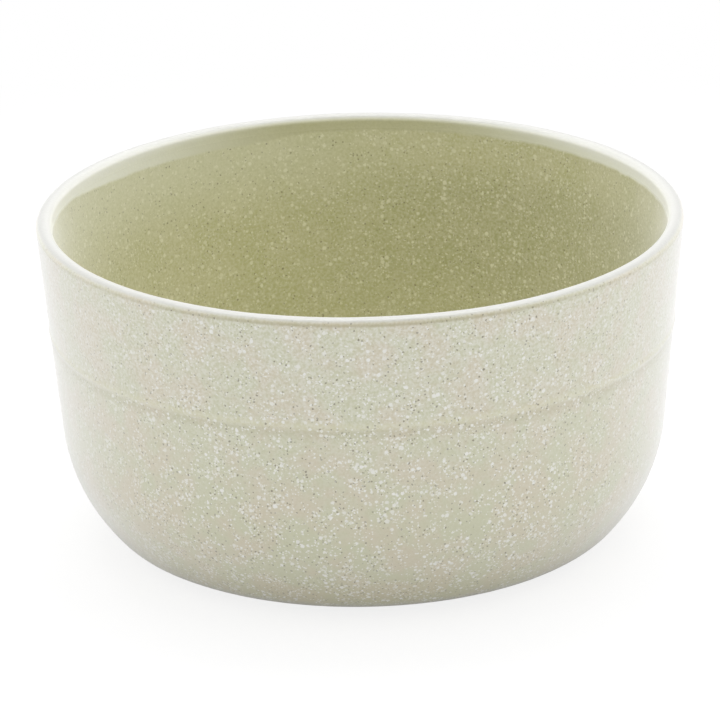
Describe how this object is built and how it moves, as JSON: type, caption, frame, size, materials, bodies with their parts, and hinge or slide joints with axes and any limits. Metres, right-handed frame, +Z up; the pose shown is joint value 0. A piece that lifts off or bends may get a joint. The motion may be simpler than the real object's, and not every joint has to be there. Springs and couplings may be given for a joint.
{
  "type": "prep bowl",
  "caption": "Round stoneware prep bowl with a lightly flared wall, rounded belly, raised girdle line, soft lip and bare foot ring, speckled glaze; holds ingredients ready for cooking.",
  "frame": {"origin": "on the table, under the middle of the bowl, in the plane of the foot ring's seat", "axes": "+Z up along the bowl's axis, out of its mouth; X and Y are any two directions across the round bowl"},
  "size_m": [0.14, 0.14, 0.0727],
  "materials": {
    "clay": "matte",
    "inner_glaze": "gloss",
    "outer_glaze": "gloss",
    "lip_glaze": "gloss"
  },
  "bodies": {
    "root": {"stoneware_body": "clay", "inner_glaze": "inner_glaze", "outer_glaze": "outer_glaze", "lip_glaze": "lip_glaze", "foot_recess_glaze": "outer_glaze"}
  },
  "joints": []
}
